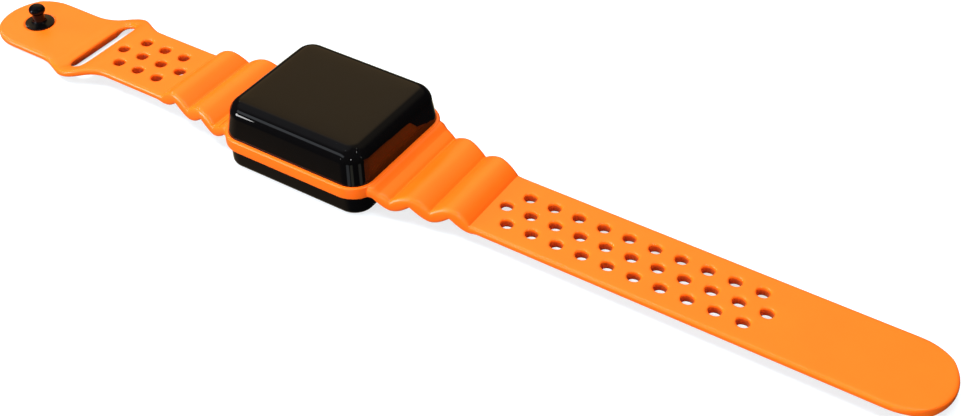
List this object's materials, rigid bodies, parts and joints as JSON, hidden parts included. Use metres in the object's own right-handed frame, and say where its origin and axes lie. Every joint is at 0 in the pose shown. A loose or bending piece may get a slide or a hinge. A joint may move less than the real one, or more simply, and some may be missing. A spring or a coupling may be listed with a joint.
{
  "type": "gps running watch",
  "caption": "Soft-edged black watch pod in an orange perforated silicone band with corrugated roots, an eared tuck slot and a ball-headed locking pin.",
  "frame": {"origin": "centre of the pod's flat rear face", "axes": "+X along the band towards its long arm, +Y across the band, +Z out of the display"},
  "size_m": [0.2691, 0.0378, 0.0182],
  "materials": {
    "orange_silicone": "soft satin moulded silicone, bright orange",
    "gloss_black": "polished black, mirror-like",
    "seal_rubber": "matt black rubber",
    "black_steel": "black plated, polished",
    "gold_plate": "gold plated, satin",
    "chassis_grey": "glass-filled, matt",
    "green_board": "green solder mask",
    "chip_black": "moulded epoxy, matt",
    "antenna_ceramic": "unglazed ceramic",
    "display_black": "switched-off display",
    "clear_film": "clear film",
    "flex_amber": "polyimide film",
    "battery_foil": "laminated foil pouch",
    "motor_steel": "drawn can, satin"
  },
  "bodies": {
    "watch_pod": {"lens_cover": "gloss_black", "rear_case": "gloss_black", "inner_chassis": "chassis_grey", "main_board": "green_board", "processor_chip": "chip_black", "gps_receiver_chip": "chip_black", "memory_chip": "chip_black", "power_chip": "chip_black", "motion_sensor_chip": "chip_black", "gps_antenna": "antenna_ceramic", "display_panel": "display_black", "touch_sensor": "clear_film", "cover_adhesive": "clear_film", "display_flex": "flex_amber", "display_connector": "chip_black", "battery_cell": "battery_foil", "battery_lead": "flex_amber", "battery_connector": "chip_black", "vibration_motor": "motor_steel", "case_seal": "seal_rubber", "rear_screw_1": "black_steel", "rear_screw_2": "black_steel", "rear_screw_3": "black_steel", "rear_screw_4": "black_steel", "charging_contact_1": "gold_plate", "charging_contact_2": "gold_plate", "charging_contact_3": "gold_plate", "charging_contact_4": "gold_plate"},
    "band": {"band_cradle": "orange_silicone"},
    "long_fold_1": {"long_strap_fold_1": "orange_silicone"},
    "long_fold_2": {"long_strap_fold_2": "orange_silicone"},
    "long_section_1": {"long_strap_section_1": "orange_silicone"},
    "long_section_2": {"long_strap_section_2": "orange_silicone"},
    "long_section_3": {"long_strap_section_3": "orange_silicone"},
    "long_section_4": {"long_strap_section_4": "orange_silicone"},
    "long_section_5": {"long_strap_section_5": "orange_silicone"},
    "long_section_6": {"long_strap_section_6": "orange_silicone"},
    "long_tip": {"long_strap_tip": "orange_silicone"},
    "short_fold_1": {"short_strap_fold_1": "orange_silicone"},
    "short_fold_2": {"short_strap_fold_2": "orange_silicone"},
    "short_section": {"short_strap_section": "orange_silicone"},
    "loop": {"strap_loop": "orange_silicone"},
    "plate": {"pin_plate": "orange_silicone", "locking_pin": "black_steel", "pin_backing_disc": "black_steel"}
  },
  "joints": [
    {"name": "band_release", "type": "slide", "parent": "watch_pod", "child": "band", "axis": [0, 0, -1], "range_m": [0, 0.012]},
    {"name": "long_strap_curl_1", "type": "hinge", "parent": "band", "child": "long_fold_1", "pos_m": [0.0266, 0, 0.00295], "axis": [0, 1, 0], "range_deg": [-3, 24], "stiffness_Nm_per_rad": 0.09},
    {"name": "long_strap_stretch", "type": "slide", "parent": "long_fold_1", "child": "long_fold_2", "axis": [1, 0, 0], "range_m": [0, 0.003], "stiffness_N_per_m": 2000},
    {"name": "long_strap_curl_2", "type": "hinge", "parent": "long_fold_2", "child": "long_section_1", "pos_m": [0.0465, 0, 0.00295], "axis": [0, 1, 0], "range_deg": [-4.12, 33], "stiffness_Nm_per_rad": 0.08},
    {"name": "long_strap_curl_3", "type": "hinge", "parent": "long_section_1", "child": "long_section_2", "pos_m": [0.06137, 0, 0.00335], "axis": [0, 1, 0], "range_deg": [-4.5, 36], "stiffness_Nm_per_rad": 0.07},
    {"name": "long_strap_curl_4", "type": "hinge", "parent": "long_section_2", "child": "long_section_3", "pos_m": [0.07762, 0, 0.00335], "axis": [0, 1, 0], "range_deg": [-4.5, 36], "stiffness_Nm_per_rad": 0.06},
    {"name": "long_strap_curl_5", "type": "hinge", "parent": "long_section_3", "child": "long_section_4", "pos_m": [0.09388, 0, 0.00335], "axis": [0, 1, 0], "range_deg": [-4.12, 33], "stiffness_Nm_per_rad": 0.05},
    {"name": "long_strap_curl_6", "type": "hinge", "parent": "long_section_4", "child": "long_section_5", "pos_m": [0.11013, 0, 0.00335], "axis": [0, 1, 0], "range_deg": [-3.38, 27], "stiffness_Nm_per_rad": 0.035},
    {"name": "long_strap_curl_7", "type": "hinge", "parent": "long_section_5", "child": "long_section_6", "pos_m": [0.1264, 0, 0.00335], "axis": [0, 1, 0], "range_deg": [-2.62, 21], "stiffness_Nm_per_rad": 0.02},
    {"name": "long_strap_curl_8", "type": "hinge", "parent": "long_section_6", "child": "long_tip", "pos_m": [0.1414, 0, 0.00335], "axis": [0, 1, 0], "range_deg": [-2.25, 18], "stiffness_Nm_per_rad": 0.01},
    {"name": "short_strap_curl_1", "type": "hinge", "parent": "band", "child": "short_fold_1", "pos_m": [-0.0266, 0, 0.00295], "axis": [0, -1, 0], "range_deg": [-3, 24], "stiffness_Nm_per_rad": 0.09},
    {"name": "short_strap_stretch", "type": "slide", "parent": "short_fold_1", "child": "short_fold_2", "axis": [-1, 0, 0], "range_m": [0, 0.003], "stiffness_N_per_m": 2000},
    {"name": "short_strap_curl_2", "type": "hinge", "parent": "short_fold_2", "child": "short_section", "pos_m": [-0.0465, 0, 0.00295], "axis": [0, -1, 0], "range_deg": [-4.31, 34.5], "stiffness_Nm_per_rad": 0.08},
    {"name": "short_strap_curl_3", "type": "hinge", "parent": "short_section", "child": "loop", "pos_m": [-0.06137, 0, 0.00335], "axis": [0, -1, 0], "range_deg": [-5.06, 40.5], "stiffness_Nm_per_rad": 0.07},
    {"name": "short_strap_curl_4", "type": "hinge", "parent": "loop", "child": "plate", "pos_m": [-0.09, 0, 0.00023], "axis": [0, -1, 0], "range_deg": [-5.06, 40.5], "stiffness_Nm_per_rad": 0.06}
  ],
  "couplings": [
    {"joint": "long_strap_curl_2", "follows": "long_strap_curl_1", "ratio": 1.1},
    {"joint": "long_strap_curl_3", "follows": "long_strap_curl_1", "ratio": 1.2},
    {"joint": "long_strap_curl_4", "follows": "long_strap_curl_1", "ratio": 1.2},
    {"joint": "long_strap_curl_5", "follows": "long_strap_curl_1", "ratio": 1.1},
    {"joint": "long_strap_curl_6", "follows": "long_strap_curl_1", "ratio": 0.9},
    {"joint": "long_strap_curl_7", "follows": "long_strap_curl_1", "ratio": 0.7},
    {"joint": "long_strap_curl_8", "follows": "long_strap_curl_1", "ratio": 0.6},
    {"joint": "short_strap_curl_2", "follows": "short_strap_curl_1", "ratio": 1.15},
    {"joint": "short_strap_curl_3", "follows": "short_strap_curl_1", "ratio": 1.35},
    {"joint": "short_strap_curl_4", "follows": "short_strap_curl_1", "ratio": 1.35}
  ]
}
